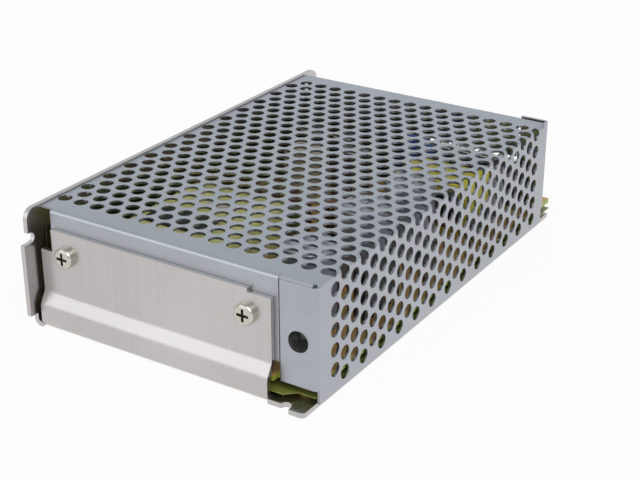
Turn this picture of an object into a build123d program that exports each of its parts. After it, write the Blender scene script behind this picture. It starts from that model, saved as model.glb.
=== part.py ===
"""Enclosed switching power supply in a perforated sheet metal case.

The case stands on its base, +Z up. The origin is at the middle of the base's
underside. The long left wall is at -X, the perforated long side at +X, the
closed end with the joggled plate at -Y and the terminals at +Y.
"""

import os

from build123d import *

os.makedirs("parts", exist_ok=True)

# Case, overall
case_length = 159.0
case_width = 98.0
case_height = 38.0
left = -case_width / 2
right = case_width / 2
near = -case_length / 2
far = case_length / 2

# A size whose name ends in _in is measured inwards from the right side or the
# far end; the other places in x and y are measured from the left and near ones

# Sheet metal
sheet = 1.5
cover_sheet = 0.8
bend = 1.6
cover_bend = 0.9
slip = 0.1

# Left wall of the chassis
wall_step = 1.9
wall_foot = 4.2
wall_shoulder = case_height - 7.4
wall_corner = 3.5
mount_slot = 3.4
mount_slot_depth = 4.4
wall_slot_height = wall_shoulder - mount_slot / 2

# End plate with its joggle
plate_back = 2.9
panel_back = 5.3
joggle_low = 7.2
joggle_high = 11.3
plate_left = 2.9
plate_right_in = 13.5
plate_top = case_height - 6.0
plate_step_left = 7.2
plate_step_height = 24.9
plate_notch_in = 21.1
plate_notch_drop = 1.1
plate_screw_left = 12.7
plate_screw_in = 21.3
plate_screw_height = 24.6

# Base
base_side = right - cover_sheet - slip
base_far_back = 1.5
ear_back = 1.4
ear_slot_in = 7.4
ear_corner = 1.4
foot_hole = 3.0
foot_hole_pitch_x = case_width - 2 * 14.0
foot_hole_pitch_y = case_length - 2 * 19.5

# Perforated cover
cover_top = case_height - 0.5
cover_foot = 1.4
cover_near = panel_back + sheet + slip
cover_far_in = 8.2
flange_left = 6.0
flange_right_in = 12.1
flange_low = 11.5
far_flange_left = 2.4
far_flange_right_in = 10.6
far_flange_low = 23.2
tab_gap = 0.3
far_slit = 0.8
tab_low = 5.7
tab_drop = 0.9
far_tab_rise = 0.35
far_tab_proud = 0.6
far_tab_clear = 0.3
hole = 4.3
hole_pitch = 6.12
row_pitch = 5.03
first_hole = 4.0
fold_loss = 0.67
end_margin = 8.0
foot_margin = 1.5

# Rivet in the cover's corner tab
rivet_in = 6.0
rivet_height = 19.4
rivet_head = 6.4
rivet_hole = 3.6
rivet_dome = 1.7
rivet_bulge = 0.55
rivet_tail = 3.2

# Circuit board, the feet it stands on and the film under it
board_thickness = 1.6
board_rise = 5.0
board_left = 3.6
board_right_in = 1.3
board_near = 6.6
board_corner_near = 9.0
board_corner_in = 14.0
far_margin = 0.2
foot_x = right - 7.0
foot_y = far - 13.5
foot_collar = 7.0
foot_neck = 4.6
film = 0.3
film_rise = 2.9
film_near = 4.9
film_corner_near = 7.9
film_corner_in = 9.8
film_wall_near = 8.5
film_wall_gap = 0.5
film_wall_top = 30.0
film_bend = 0.8

# Machine screws
screw_across = 3.0
screw_pass = 3.2
case_head = 6.5
case_head_deep = 2.2
small_head = 5.4
small_head_deep = 1.7
head_round = 0.45
recess_wide = 0.9
cross_share = 0.6
case_screw_length = 5.2
board_screw_length = 4.6

# Terminal block
ways = 7
way_pitch = 7.62
barrier = 1.3
block_right_in = 10.4
block_back_in = 14.0
block_face_in = 7.6
block_top = 20.8
block_floor = 1.4
contact_thin = 0.8
contact_wide = 5.4
contact_reach = 4.6
contact_foot = 1.2
terminal_height = 14.2
terminal_head = 5.6
terminal_head_deep = 2.0
terminal_shank = 7.0
terminal_bore = 3.8
terminal_bore_room = 0.5
washer = 5.6
washer_thin = 0.9
washer_lip = 1.4
seat_gap = 0.1
run_gap = 0.05

# Trimmer and lamp beside the terminals
trimmer_wide = 6.6
trimmer_high = 4.6
trimmer_gap = 2.7
trimmer_in = 5.9
rotor_across = 3.8
rotor_high = 1.2
rotor_deep = 2.4
rotor_slot = 0.8
lamp_gap = 3.8
lamp_in = 4.5
lamp_across = 3.0
lamp_high = 5.2
lamp_rim = 3.8
lamp_rim_high = 1.0

# Input side of the board
fuse_across = 5.0
fuse_length = 20.0
fuse_cap = 5.0
fuse_place = (right - 28.2, far - 18.1)
fuse_rise = 2.2
clip_thin = 0.4
clip_long = 4.6
disc_thick = 3.6
varistor_across = 12.0
varistor_place = (right - 45.0, far - 19.1)
guard_across = 8.0
guard_places = [(right - 5.6, far - 50.5), (right - 5.6, far - 38.5)]
disc_legs = 3.4
x_capacitor_size = (28.0, 16.0, 17.9)
x_capacitor_place = (right - 24.0, far - 37.0)
box_corner = 0.8
filter_across = 18.0
filter_hole = 9.0
filter_thick = 8.0
filter_place = (3.0, 19.5)
filter_wound_angle = 140.0
filter_start_angle = 20.0
bridge_size = (3.8, 20.0, 15.0)
bridge_leads = 4
bridge_place = (right - 8.5, near + 52.5)
thermistor_across = 10.0
thermistor_place = (right - 7.0, 1.0)
leg = 0.8
leg_high = 3.0

# Electrolytic capacitors
bulk_across = 16.0
bulk_high = 25.4
bulk_places = [(right - 22.0, near + 38.0), (right - 23.0, -9.5), (right - 21.0, 14.5)]
standby_across = 10.0
standby_high = 16.0
standby_place = (right - 12.6, far - 23.1)
output_across = 10.0
output_high = 19.0
output_places = [(left + 40.0, far - 37.0), (left + 30.0, far - 27.0), (left + 17.5, far - 29.0)]
can_groove = 0.5
can_groove_high = 2.4
can_corner = 0.8
vent_wide = 0.5
vent_deep = 0.3

# Transformer
core_long = 33.0
core_thick = 16.0
core_leg = 4.6
core_middle = 11.0
core_slab = 4.6
core_place = (-11.5, near + 37.5)
core_high = 25.0
core_joint = 0.1
bobbin_gap = 0.2
bobbin_wall = 0.8
winding_build = 4.4
winding_gap = 0.1
pin_rows = 5
pin_pitch = 5.0
rail_wide = 5.0
rail_high = 2.6

# Chokes of the output side
choke_across = 25.0
choke_hole = 13.0
choke_thick = 10.0
choke_place = (-16.5, 1.0)
choke_wound_angle = 300.0
choke_start_angle = 30.0
wire = 1.1
seat_high = 1.6

# Power devices on their spreader behind the end plate
spreader_left = 8.0
spreader_right_in = 16.0
spreader_low = 9.0
spreader_high = 29.0
spreader_thick = 4.0
pad = 0.4
device_size = (10.0, 3.1, 9.2)
device_tab = (10.0, 1.3, 15.6)
device_low = 12.0
devices = 4
device_leg_pitch = 2.54
clamp_bar = 1.2
clamp_bar_high = 6.0
clamp_bar_over = 3.0

# Small parts
resistor_size = (13.0, 9.0, 18.4)
resistor_place = (left + 24.5, far - 44.0)
film_capacitor_size = (3.6, 7.4, 8.0)
film_capacitor_place = (left + 9.0, far - 33.5)
chip_size = (9.4, 6.4, 3.3)
chip_place = (left + 13.0, -16.0)
chip_legs = 4
coupler_size = (4.6, 6.4, 3.3)
coupler_places = [(left + 13.0, 14.0), (left + 13.0, 22.0)]
chip_rise = 0.5

# Heights and lines that several pieces share
board_top = board_rise + board_thickness
board_far = far - far_margin


def block(x, y, z, mode=Mode.ADD):
    """Box between two corners, each axis given as (low, high)."""
    with Locations(((x[0] + x[1]) / 2, (y[0] + y[1]) / 2, (z[0] + z[1]) / 2)):
        Box(x[1] - x[0], y[1] - y[0], z[1] - z[0], mode=mode)


def post(x, y, z, across, mode=Mode.ADD):
    """Upright round bar at (x, y) between the heights in z."""
    with Locations((x, y, (z[0] + z[1]) / 2)):
        Cylinder(across / 2, z[1] - z[0], mode=mode)


def bar_y(x, y, z, across, mode=Mode.ADD):
    """Round bar along Y between the two values in y."""
    with Locations(Location((x, (y[0] + y[1]) / 2, z), (90, 0, 0))):
        Cylinder(across / 2, y[1] - y[0], mode=mode)


def bar_x(x, y, z, across, mode=Mode.ADD):
    """Round bar along X between the two values in x."""
    with Locations(Location(((x[0] + x[1]) / 2, y, z), (0, 90, 0))):
        Cylinder(across / 2, x[1] - x[0], mode=mode)


def save(piece, label):
    """Label a finished piece and write its STEP file."""
    piece.part.label = label
    export_step(piece.part, f"parts/{label}.step")


# Chassis: base, long left wall and joggled end plate, folded from one sheet
half = sheet / 2
bend_outside = bend + half
plate_screw_places = (left + plate_screw_left, right - plate_screw_in)
plate_y = near + plate_back
panel_y = near + panel_back
wall_end = plate_y
wall_run = case_length - 2 * plate_back
slot_end = near + mount_slot_depth - mount_slot / 2
with BuildPart() as chassis:
    with BuildSketch(Plane.XZ.offset(-wall_end)):
        with BuildLine():
            FilletPolyline(
                (base_side, half),
                (left + half, half),
                (left + half, case_height),
                radius=bend,
            )
        trace(line_width=sheet)
    extrude(amount=-wall_run)
    block(
        (left + plate_left, base_side),
        (far - plate_back - sheet, far - base_far_back),
        (0, sheet),
    )
    # Room for the end plate's bend, which replaces the base's square edge
    block(
        (left + plate_left, right - plate_right_in),
        (plate_y, plate_y + bend_outside),
        (0, sheet),
        mode=Mode.SUBTRACT,
    )
    with BuildSketch(Plane.YZ.offset(left + plate_left)):
        with BuildLine():
            FilletPolyline(
                (plate_y + 2 * bend_outside, half),
                (plate_y + half, half),
                (plate_y + half, joggle_low),
                (panel_y + half, joggle_high),
                (panel_y + half, plate_top),
                radius=[bend, 2 * bend, 2 * bend],
            )
        trace(line_width=sheet)
    extrude(amount=case_width - plate_left - plate_right_in)
    # Stepped corners of the end plate
    block(
        (left + plate_left, left + plate_step_left),
        (plate_y, panel_y + 2 * sheet),
        (plate_step_height, plate_top),
        mode=Mode.SUBTRACT,
    )
    block(
        (right - plate_notch_in, right - plate_right_in),
        (plate_y, panel_y + 2 * sheet),
        (plate_top - plate_notch_drop, plate_top),
        mode=Mode.SUBTRACT,
    )
    for x in plate_screw_places:
        bar_y(x, (plate_y, panel_y + 2 * sheet), plate_screw_height, screw_pass, Mode.SUBTRACT)
    # Ends of the left wall, longer than the base, and cut back above the slots
    for side in (-1, 1):
        end = side * case_length / 2
        inner = side * (case_length / 2 - plate_back)
        block((left, left + sheet), sorted((end, inner)), (wall_foot, wall_shoulder))
        step = sorted((end - side * wall_step, inner))
        block((left, left + sheet), step, (wall_shoulder, case_height))
        top_edge = (
            chassis.edges()
            .filter_by(Axis.X)
            .filter_by(lambda e: e.center().Z > case_height - slip and e.center().X < left + sheet)
            .sort_by(Axis.Y)
        )
        fillet(top_edge[0] if side < 0 else top_edge[-1], radius=wall_corner)
        slot_y = sorted((side * (case_length / 2 + 1), side * (-slot_end)))
        low = wall_slot_height - mount_slot / 2
        block((left, left + sheet), slot_y, (low, low + mount_slot), mode=Mode.SUBTRACT)
        bar_x((left, left + sheet), -side * slot_end, wall_slot_height, mount_slot, Mode.SUBTRACT)
    # Ears of the base beside the end plate and under the terminals
    ear_reach = plate_back - ear_back
    with BuildSketch() as ears:
        for side in (-1, 1):
            ear_y = side * (case_length / 2 - plate_back)
            with Locations(((right - ear_slot_in + base_side) / 2, ear_y)):
                Rectangle(base_side - right + ear_slot_in, 2 * ear_reach)
        fillet(
            ears.vertices().filter_by(lambda v: abs(v.Y) > case_length / 2 - ear_back - slip),
            radius=ear_corner,
        )
    extrude(amount=sheet)
    with BuildSketch():
        for side in (-1, 1):
            with Locations((right - ear_slot_in, -side * slot_end)):
                Circle(mount_slot / 2)
            with Locations((right - ear_slot_in, side * case_length / 2)):
                Rectangle(mount_slot, 2 * (mount_slot_depth - mount_slot / 2))
    extrude(amount=sheet, mode=Mode.SUBTRACT)
    with GridLocations(foot_hole_pitch_x, foot_hole_pitch_y, 2, 2):
        Cylinder(foot_hole / 2, 4 * sheet, mode=Mode.SUBTRACT)
save(chassis, "chassis")

# Cover: perforated top and side, with a flange and a corner tab at each end
cover_half = cover_sheet / 2
cover_y = near + cover_near
cover_end = far - cover_far_in
cover_mid = cover_top - cover_half
side_mid = right - cover_half
flange_right = right - flange_right_in
far_flange_right = right - far_flange_right_in
tab_left = flange_right + tab_gap
far_tab_left = far_flange_right + far_slit

# Staggered lattice of holes, laid out flat and then carried over the fold: odd
# rows stand half a column on, and columns past the fold lie on the side
fold_column = (case_width - fold_loss - first_hole) / hole_pitch
last_column = fold_column + (cover_top - cover_foot - foot_margin - hole / 2) / hole_pitch
rows = int((cover_end - cover_y - 2 * end_margin) / row_pitch) + 1
first_row = (cover_y + cover_end - (rows - 1) * row_pitch) / 2
top_places, side_places = [], []
for row in range(rows):
    row_y = first_row + row_pitch * row
    for half_column in range(row % 2, int(2 * last_column) + 1, 2):
        column = half_column / 2
        if column <= fold_column:
            top_places.append((left + first_hole + hole_pitch * column, row_y))
        else:
            side_places.append((row_y, cover_top - hole_pitch * (column - fold_column)))
with BuildPart() as mesh_cover:
    bend_clear = cover_bend + cover_half
    with BuildSketch(Plane.XZ.offset(-(cover_y + bend_clear))):
        with BuildLine():
            FilletPolyline(
                (left + sheet + slip, cover_mid),
                (side_mid, cover_mid),
                (side_mid, cover_foot),
                radius=cover_bend,
            )
        trace(line_width=cover_sheet)
    extrude(amount=-(cover_end - cover_y - 2 * bend_clear))
    # Flanges folded down from the top at both ends
    for side, edge, low, span in (
        (1, cover_y, flange_low, (left + flange_left, flange_right)),
        (-1, cover_end, far_flange_low, (left + far_flange_left, far_flange_right)),
    ):
        with BuildSketch(Plane.YZ.offset(span[0])):
            with BuildLine():
                FilletPolyline(
                    (edge + side * 2 * bend_clear, cover_mid),
                    (edge + side * cover_half, cover_mid),
                    (edge + side * cover_half, low),
                    radius=cover_bend,
                )
            trace(line_width=cover_sheet)
        extrude(amount=span[1] - span[0])
    # Corner tabs folded in from the side at both ends
    for side, edge, start, low, top in (
        (1, cover_y, tab_left, tab_low, cover_top - tab_drop),
        (-1, cover_end + far_tab_proud, far_tab_left, board_top + far_tab_clear, cover_top + far_tab_rise),
    ):
        with BuildSketch(Plane.XY.offset(low)):
            with BuildLine():
                FilletPolyline(
                    (side_mid, edge + side * 3 * bend_clear),
                    (side_mid, edge + side * cover_half),
                    (start, edge + side * cover_half),
                    radius=cover_bend,
                )
            trace(line_width=cover_sheet)
        extrude(amount=top - low)
    # Top sheet over the near corner tab
    block(
        (tab_left, side_mid - cover_bend),
        (cover_y, cover_y + 2 * bend_clear),
        (cover_top - cover_sheet, cover_top),
    )
    bar_y(right - rivet_in, (cover_y, cover_y + cover_sheet), rivet_height, rivet_hole, Mode.SUBTRACT)
    for x in plate_screw_places:
        bar_y(x, (cover_y, cover_y + cover_sheet), plate_screw_height, screw_pass, Mode.SUBTRACT)
    # Round holes through the top, then through the side
    with BuildSketch(Plane.XY.offset(cover_top - cover_bend / 2 - cover_sheet)):
        with Locations(*top_places):
            Circle(hole / 2)
    extrude(amount=2 * cover_bend, mode=Mode.SUBTRACT)
    with BuildSketch(Plane.YZ.offset(right - cover_bend - cover_sheet)):
        with Locations(*side_places):
            Circle(hole / 2)
    extrude(amount=2 * cover_bend + cover_sheet, mode=Mode.SUBTRACT)
save(mesh_cover, "mesh_cover")

# Stepped feet pressed into the base, the film they hold and the board on top
foot_places = [(x, y) for x in (-foot_x, foot_x) for y in (-foot_y, foot_y)]
with BuildPart() as board_feet:
    for x, y in foot_places:
        post(x, y, (sheet, film_rise), foot_collar)
        post(x, y, (film_rise, board_rise), foot_neck)
        post(x, y, (sheet, board_rise), screw_across, Mode.SUBTRACT)
save(board_feet, "board_feet")

film_left = left + sheet + film_wall_gap
film_right = right - cover_sheet - far_margin
with BuildPart() as insulating_sheet:
    with BuildSketch(Plane.XZ.offset(-(near + film_near))):
        with BuildLine():
            FilletPolyline(
                (film_right, film_rise + film / 2),
                (film_left + film / 2, film_rise + film / 2),
                (film_left + film / 2, film_wall_top),
                radius=film_bend,
            )
        trace(line_width=film)
    extrude(amount=-(board_far - near - film_near))
    # The upturned strip starts behind the end plate
    block(
        (film_left - film, film_left + film),
        (near + film_near - film, near + film_wall_near),
        (film_rise + film_bend, film_wall_top + film),
        mode=Mode.SUBTRACT,
    )
    # Slanted near corner, clear of the cover's tab
    with BuildSketch(Plane.XY.offset(film_rise)):
        with BuildLine():
            Polyline(
                (right - film_corner_in, near + film_near - film),
                (right - film_corner_in, near + film_near),
                (right - film_corner_in + film_corner_near - film_near, near + film_corner_near),
                (right, near + film_corner_near),
                (right, near + film_near - film),
                close=True,
            )
        make_face()
    extrude(amount=film, mode=Mode.SUBTRACT)
    for x, y in foot_places:
        post(x, y, (film_rise, film_rise + film), foot_neck + far_margin, Mode.SUBTRACT)
save(insulating_sheet, "insulating_sheet")

with BuildPart() as circuit_board:
    board_x = (left + board_left, right - board_right_in)
    block(board_x, (near + board_near, board_far), (board_rise, board_top))
    block(
        (right - board_corner_in, right - board_right_in),
        (near + board_near, near + board_corner_near),
        (board_rise, board_top),
        mode=Mode.SUBTRACT,
    )
    for x, y in foot_places:
        post(x, y, (board_rise, board_top), screw_pass, Mode.SUBTRACT)
save(circuit_board, "circuit_board")

# Screws: one form, turned to the board, the end plate, the clamps or the terminals
base_up = (Align.CENTER, Align.CENTER, Align.MIN)
base_down = (Align.CENTER, Align.CENTER, Align.MAX)


def pan_screw(head, deep, length):
    """Cross recessed pan head screw, seated at the origin with its head up."""
    with BuildPart() as screw:
        Cylinder(head / 2, deep, align=base_up)
        fillet(screw.edges().sort_by(Axis.Z)[-1], radius=head_round * deep)
        Cylinder(screw_across / 2, length, align=base_down)
        with Locations((0, 0, deep)):
            Box(cross_share * head, recess_wide, deep, mode=Mode.SUBTRACT)
            Box(recess_wide, cross_share * head, deep, mode=Mode.SUBTRACT)
    return screw.part


board_screw = pan_screw(small_head, small_head_deep, board_screw_length)
with BuildPart() as board_screws:
    with Locations(*[(x, y, board_top) for x, y in foot_places]):
        add(board_screw)
save(board_screws, "board_screws")

case_screw = pan_screw(case_head, case_head_deep, case_screw_length)
with BuildPart() as case_screws:
    for x in plate_screw_places:
        with Locations(Location((x, panel_y, plate_screw_height), (90, 0, 0))):
            add(case_screw)
save(case_screws, "case_screws")

# Black snap rivet in the corner tab
with BuildPart() as snap_rivet:
    with BuildSketch(Plane.XY):
        with BuildLine():
            Line((0, -cover_sheet - rivet_tail), (0, rivet_dome))
            SagittaArc((0, rivet_dome), (rivet_head / 2, 0), rivet_bulge)
            Polyline(
                (rivet_head / 2, 0),
                (rivet_hole / 2 - slip, 0),
                (rivet_hole / 2 - slip, -cover_sheet - slip),
                (rivet_hole / 2 + 2 * slip, -cover_sheet - 4 * slip),
                (rivet_hole / 3, -cover_sheet - rivet_tail),
                (0, -cover_sheet - rivet_tail),
            )
        make_face()
    revolve(axis=Axis.Y)
    with Locations((0, -cover_sheet - rivet_tail, 0)):
        Box(recess_wide / 2, rivet_tail, rivet_head, mode=Mode.SUBTRACT)
rivet_place = Location((right - rivet_in, cover_y, rivet_height), (180, 0, 0))
snap_rivet.part.move(rivet_place)
save(snap_rivet, "snap_rivet")

# Terminal block: a back with contact seats, a floor ledge and walls between the ways
block_x = right - block_right_in
block_left = block_x - ways * way_pitch - barrier
way_places = [block_left + barrier / 2 + way_pitch * (way + 0.5) for way in range(ways)]
back_y = far - block_back_in
face_y = far - block_face_in
ledge_top = board_top + block_floor
contact_front = face_y + contact_thin
clamp_y = contact_front + seat_gap
head_y = clamp_y + washer_thin + run_gap
bore_end = head_y - terminal_shank - terminal_bore_room
with BuildPart() as terminal_block:
    block((block_left, block_x), (back_y, face_y), (board_top, block_top))
    block((block_left, block_x), (face_y, board_far), (board_top, ledge_top))
    for way in range(ways + 1):
        start = block_left + way_pitch * way
        block((start, start + barrier), (face_y, board_far), (board_top, block_top))
    for x in way_places:
        bar_y(x, (bore_end, face_y), terminal_height, terminal_bore, Mode.SUBTRACT)
save(terminal_block, "terminal_block")

with BuildPart() as terminal_contacts:
    for x in way_places:
        side_x = (x - contact_wide / 2, x + contact_wide / 2)
        block(side_x, (face_y, contact_front), (ledge_top + contact_foot, block_top + contact_thin))
        block(side_x, (contact_front - contact_reach, face_y), (block_top, block_top + contact_thin))
        bar_y(x, (face_y, contact_front), terminal_height, screw_across + 2 * run_gap, Mode.SUBTRACT)
save(terminal_contacts, "terminal_contacts")

terminal_screw = pan_screw(terminal_head, terminal_head_deep, terminal_shank)
for way, x in enumerate(way_places, start=1):
    # Square clamp plate with a lip at top and bottom
    with BuildPart() as terminal_clamp:
        plate_x = (x - washer / 2, x + washer / 2)
        low = terminal_height - washer / 2
        block(plate_x, (clamp_y, clamp_y + washer_thin), (low, low + washer))
        for lip in (low - washer_thin, low + washer):
            block(plate_x, (clamp_y, clamp_y + washer_lip), (lip, lip + washer_thin))
        bar_y(x, (clamp_y, clamp_y + washer_lip), terminal_height, screw_pass + 2 * run_gap, Mode.SUBTRACT)
    save(terminal_clamp, f"terminal_clamp_{way}")
    with BuildPart() as terminal_screw_way:
        with Locations(Location((x, head_y, terminal_height), (-90, 0, 0))):
            add(terminal_screw)
    save(terminal_screw_way, f"terminal_screw_{way}")

# Trimmer with its turning slot, and the power lamp beside it
trimmer_x = block_left - trimmer_gap - trimmer_wide / 2
trimmer_y = far - trimmer_in
trimmer_top = board_top + trimmer_high
with BuildPart() as trimmer_body:
    with Locations((trimmer_x, trimmer_y, board_top)):
        Box(trimmer_wide, trimmer_wide, trimmer_high, align=base_up)
    chamfer(trimmer_body.edges().filter_by(Axis.Z), length=box_corner / 2)
    pocket = (trimmer_top - rotor_deep - run_gap, trimmer_top)
    post(trimmer_x, trimmer_y, pocket, rotor_across + 2 * run_gap, Mode.SUBTRACT)
save(trimmer_body, "trimmer_body")

with BuildPart() as trimmer_rotor:
    rotor_top = trimmer_top + rotor_high
    post(trimmer_x, trimmer_y, (trimmer_top - rotor_deep, rotor_top), rotor_across)
    with Locations((trimmer_x, trimmer_y, rotor_top)):
        Box(cross_share * rotor_across, rotor_slot, rotor_high, mode=Mode.SUBTRACT)
        Box(rotor_slot, cross_share * rotor_across, rotor_high, mode=Mode.SUBTRACT)
save(trimmer_rotor, "trimmer_rotor")

lamp_x = trimmer_x - trimmer_wide / 2 - lamp_gap - lamp_rim / 2
lamp_y = far - lamp_in
with BuildPart() as power_lamp:
    with Locations((lamp_x, lamp_y, board_top)):
        Cylinder(lamp_rim / 2, lamp_rim_high, align=base_up)
        Cylinder(lamp_across / 2, lamp_high - lamp_across / 2, align=base_up)
    with Locations((lamp_x, lamp_y, board_top + lamp_high - lamp_across / 2)):
        Sphere(lamp_across / 2)
save(power_lamp, "power_lamp")

# Fuse in its two clips
fuse_x, fuse_y = fuse_place
fuse_z = board_top + fuse_rise + clip_thin + fuse_across / 2
fuse_ends = (fuse_x - fuse_length / 2, fuse_x + fuse_length / 2)
with BuildPart() as fuse:
    bar_x(fuse_ends, fuse_y, fuse_z, fuse_across - 2 * clip_thin)
    bar_x((fuse_ends[0], fuse_ends[0] + fuse_cap), fuse_y, fuse_z, fuse_across)
    bar_x((fuse_ends[1] - fuse_cap, fuse_ends[1]), fuse_y, fuse_z, fuse_across)
save(fuse, "fuse")

with BuildPart() as fuse_clips:
    clip_out = fuse_across + 2 * clip_thin
    for side in (-1, 1):
        middle = fuse_x + side * (fuse_length - fuse_cap) / 2
        span = (middle - clip_long / 2, middle + clip_long / 2)
        bar_x(span, fuse_y, fuse_z, clip_out)
        block(span, (fuse_y - fuse_across / 4, fuse_y + fuse_across / 4), (board_top, fuse_z))
    for side in (-1, 1):
        middle = fuse_x + side * (fuse_length - fuse_cap) / 2
        span = (middle - clip_long / 2, middle + clip_long / 2)
        bar_x(span, fuse_y, fuse_z, fuse_across, Mode.SUBTRACT)
        open_top = (fuse_z + fuse_across / 3, fuse_z + clip_out)
        block(span, (fuse_y - clip_out, fuse_y + clip_out), open_top, Mode.SUBTRACT)
save(fuse_clips, "fuse_clips")


def legs(x, y, apart, low, high, along="x"):
    """Pair of leads standing on the board under a part."""
    for side in (-1, 1):
        px = x + (side * apart / 2 if along == "x" else 0)
        py = y + (side * apart / 2 if along == "y" else 0)
        post(px, py, (low, high), leg)


# Disc parts: the varistor faces the terminals, the others face the side
with BuildPart() as varistor:
    x, y = varistor_place
    disc_z = board_top + leg_high + varistor_across / 2
    bar_y(x, (y - disc_thick / 2, y + disc_thick / 2), disc_z, varistor_across)
    fillet(varistor.edges().filter_by(GeomType.CIRCLE), radius=disc_thick / 3)
    legs(x, y, disc_legs, board_top, disc_z)
save(varistor, "varistor")

with BuildPart() as guard_capacitors:
    disc_z = board_top + leg_high + guard_across / 2
    for x, y in guard_places:
        bar_x((x - disc_thick / 2, x + disc_thick / 2), y, disc_z, guard_across)
    fillet(guard_capacitors.edges().filter_by(GeomType.CIRCLE), radius=disc_thick / 3)
    for x, y in guard_places:
        legs(x, y, disc_legs, board_top, disc_z, along="y")
save(guard_capacitors, "guard_capacitors")

with BuildPart() as thermistor:
    x, y = thermistor_place
    disc_z = board_top + leg_high + thermistor_across / 2
    bar_x((x - disc_thick / 2, x + disc_thick / 2), y, disc_z, thermistor_across)
    fillet(thermistor.edges().filter_by(GeomType.CIRCLE), radius=disc_thick / 3)
    legs(x, y, disc_legs, board_top, disc_z, along="y")
save(thermistor, "thermistor")


def box_part(label, place, size, corner):
    """Moulded box standing on the board, with rounded upright and top edges."""
    with BuildPart() as body:
        with Locations((*place, board_top)):
            Box(*size, align=base_up)
        fillet(body.edges().filter_by(Axis.Z) + body.faces().sort_by(Axis.Z)[-1].edges(), radius=corner)
    save(body, label)


box_part("x_capacitor", x_capacitor_place, x_capacitor_size, box_corner)
box_part("cement_resistor", resistor_place, resistor_size, box_corner / 2)
box_part("film_capacitor", film_capacitor_place, film_capacitor_size, box_corner)

with BuildPart() as bridge_rectifier:
    with Locations((*bridge_place, board_top + leg_high)):
        Box(*bridge_size, align=base_up)
    chamfer(bridge_rectifier.edges().filter_by(Axis.X).sort_by(Axis.Z)[-1], length=2 * box_corner)
    x, y = bridge_place
    lead_pitch = bridge_size[1] / bridge_leads
    for lead in range(bridge_leads):
        lead_y = y + lead_pitch * (lead - (bridge_leads - 1) / 2)
        post(x, lead_y, (board_top, board_top + leg_high), leg)
save(bridge_rectifier, "bridge_rectifier")


def electrolytic(across, high):
    """Can on its base with a crimped groove, rounded edges and a vent cross."""
    with BuildPart() as can:
        with BuildSketch(Plane.XZ):
            with BuildLine():
                FilletPolyline(
                    (0, 0),
                    (across / 2, 0),
                    (across / 2, can_groove_high - can_groove),
                    (across / 2 - can_groove, can_groove_high),
                    (across / 2, can_groove_high + can_groove),
                    (across / 2, high),
                    (0, high),
                    radius=[can_corner / 2, can_groove / 3, can_groove / 3, can_groove / 3, can_corner],
                )
                Line((0, high), (0, 0))
            make_face()
        revolve(axis=Axis.Z)
        with Locations((0, 0, high)):
            Box(cross_share * across, vent_wide, 2 * vent_deep, mode=Mode.SUBTRACT)
            Box(vent_wide, cross_share * across, 2 * vent_deep, mode=Mode.SUBTRACT)
    return can.part


def place_cans(label, can, places):
    """One node for each can of a row, numbered along it."""
    for number, place in enumerate(places, start=1):
        with BuildPart() as body:
            with Locations((*place, board_top)):
                add(can)
        save(body, f"{label}_{number}" if len(places) > 1 else label)


place_cans("bulk_capacitor", electrolytic(bulk_across, bulk_high), bulk_places)
place_cans("standby_capacitor", electrolytic(standby_across, standby_high), [standby_place])
place_cans("output_capacitor", electrolytic(output_across, output_high), output_places)

# Transformer: two E shaped core halves, the bobbin with its pins, and the winding
core_x, core_y = core_place
core_low = board_top + rail_high + bobbin_gap
core_top = board_top + core_high
core_mid = (core_low + core_top) / 2
leg_inside = core_long / 2 - core_leg
window = core_mid - core_joint / 2
with BuildPart() as transformer_core:
    with BuildSketch(Plane.XZ.offset(-(core_y - core_thick / 2))):
        with Locations((core_x, (core_top + core_mid + core_joint / 2) / 2)):
            Rectangle(core_long, core_top - core_mid - core_joint / 2)
        for side in (-1, 1):
            gap_wide = leg_inside - core_middle / 2
            gap_x = core_x + side * (core_middle + gap_wide) / 2
            with Locations((gap_x, (core_top - core_slab + window) / 2)):
                Rectangle(gap_wide, core_top - core_slab - window, mode=Mode.SUBTRACT)
    extrude(amount=-core_thick)
    mirror(about=Plane.XY.offset(core_mid))
save(transformer_core, "transformer_core")

barrel_x = core_middle / 2 + bobbin_gap
barrel_y = core_thick / 2 + bobbin_gap
flange_x = leg_inside - bobbin_gap
flange_y = barrel_y + bobbin_wall + winding_build
barrel = (core_low + core_slab + bobbin_gap, core_top - core_slab - bobbin_gap)
with BuildPart() as transformer_bobbin:
    block(
        (core_x - barrel_x - bobbin_wall, core_x + barrel_x + bobbin_wall),
        (core_y - barrel_y - bobbin_wall, core_y + barrel_y + bobbin_wall),
        barrel,
    )
    for low in (barrel[0], barrel[1] - bobbin_wall):
        flange_z = (low, low + bobbin_wall)
        block((core_x - flange_x, core_x + flange_x), (core_y - flange_y, core_y + flange_y), flange_z)
    block(
        (core_x - barrel_x, core_x + barrel_x),
        (core_y - barrel_y, core_y + barrel_y),
        barrel,
        Mode.SUBTRACT,
    )
    # Pin rails at both ends, down to the board
    for side in (-1, 1):
        rail_y = sorted((core_y + side * flange_y, core_y + side * (flange_y - rail_wide)))
        block((core_x - flange_x, core_x + flange_x), rail_y, (board_top, barrel[0]))
        for pin in range(pin_rows):
            pin_x = core_x + pin_pitch * (pin - (pin_rows - 1) / 2)
            pin_y = core_y + side * (flange_y + leg)
            block(
                (pin_x - leg / 2, pin_x + leg / 2),
                sorted((core_y + side * flange_y, pin_y)),
                (board_top, board_top + rail_high),
            )
save(transformer_bobbin, "transformer_bobbin")

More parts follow.
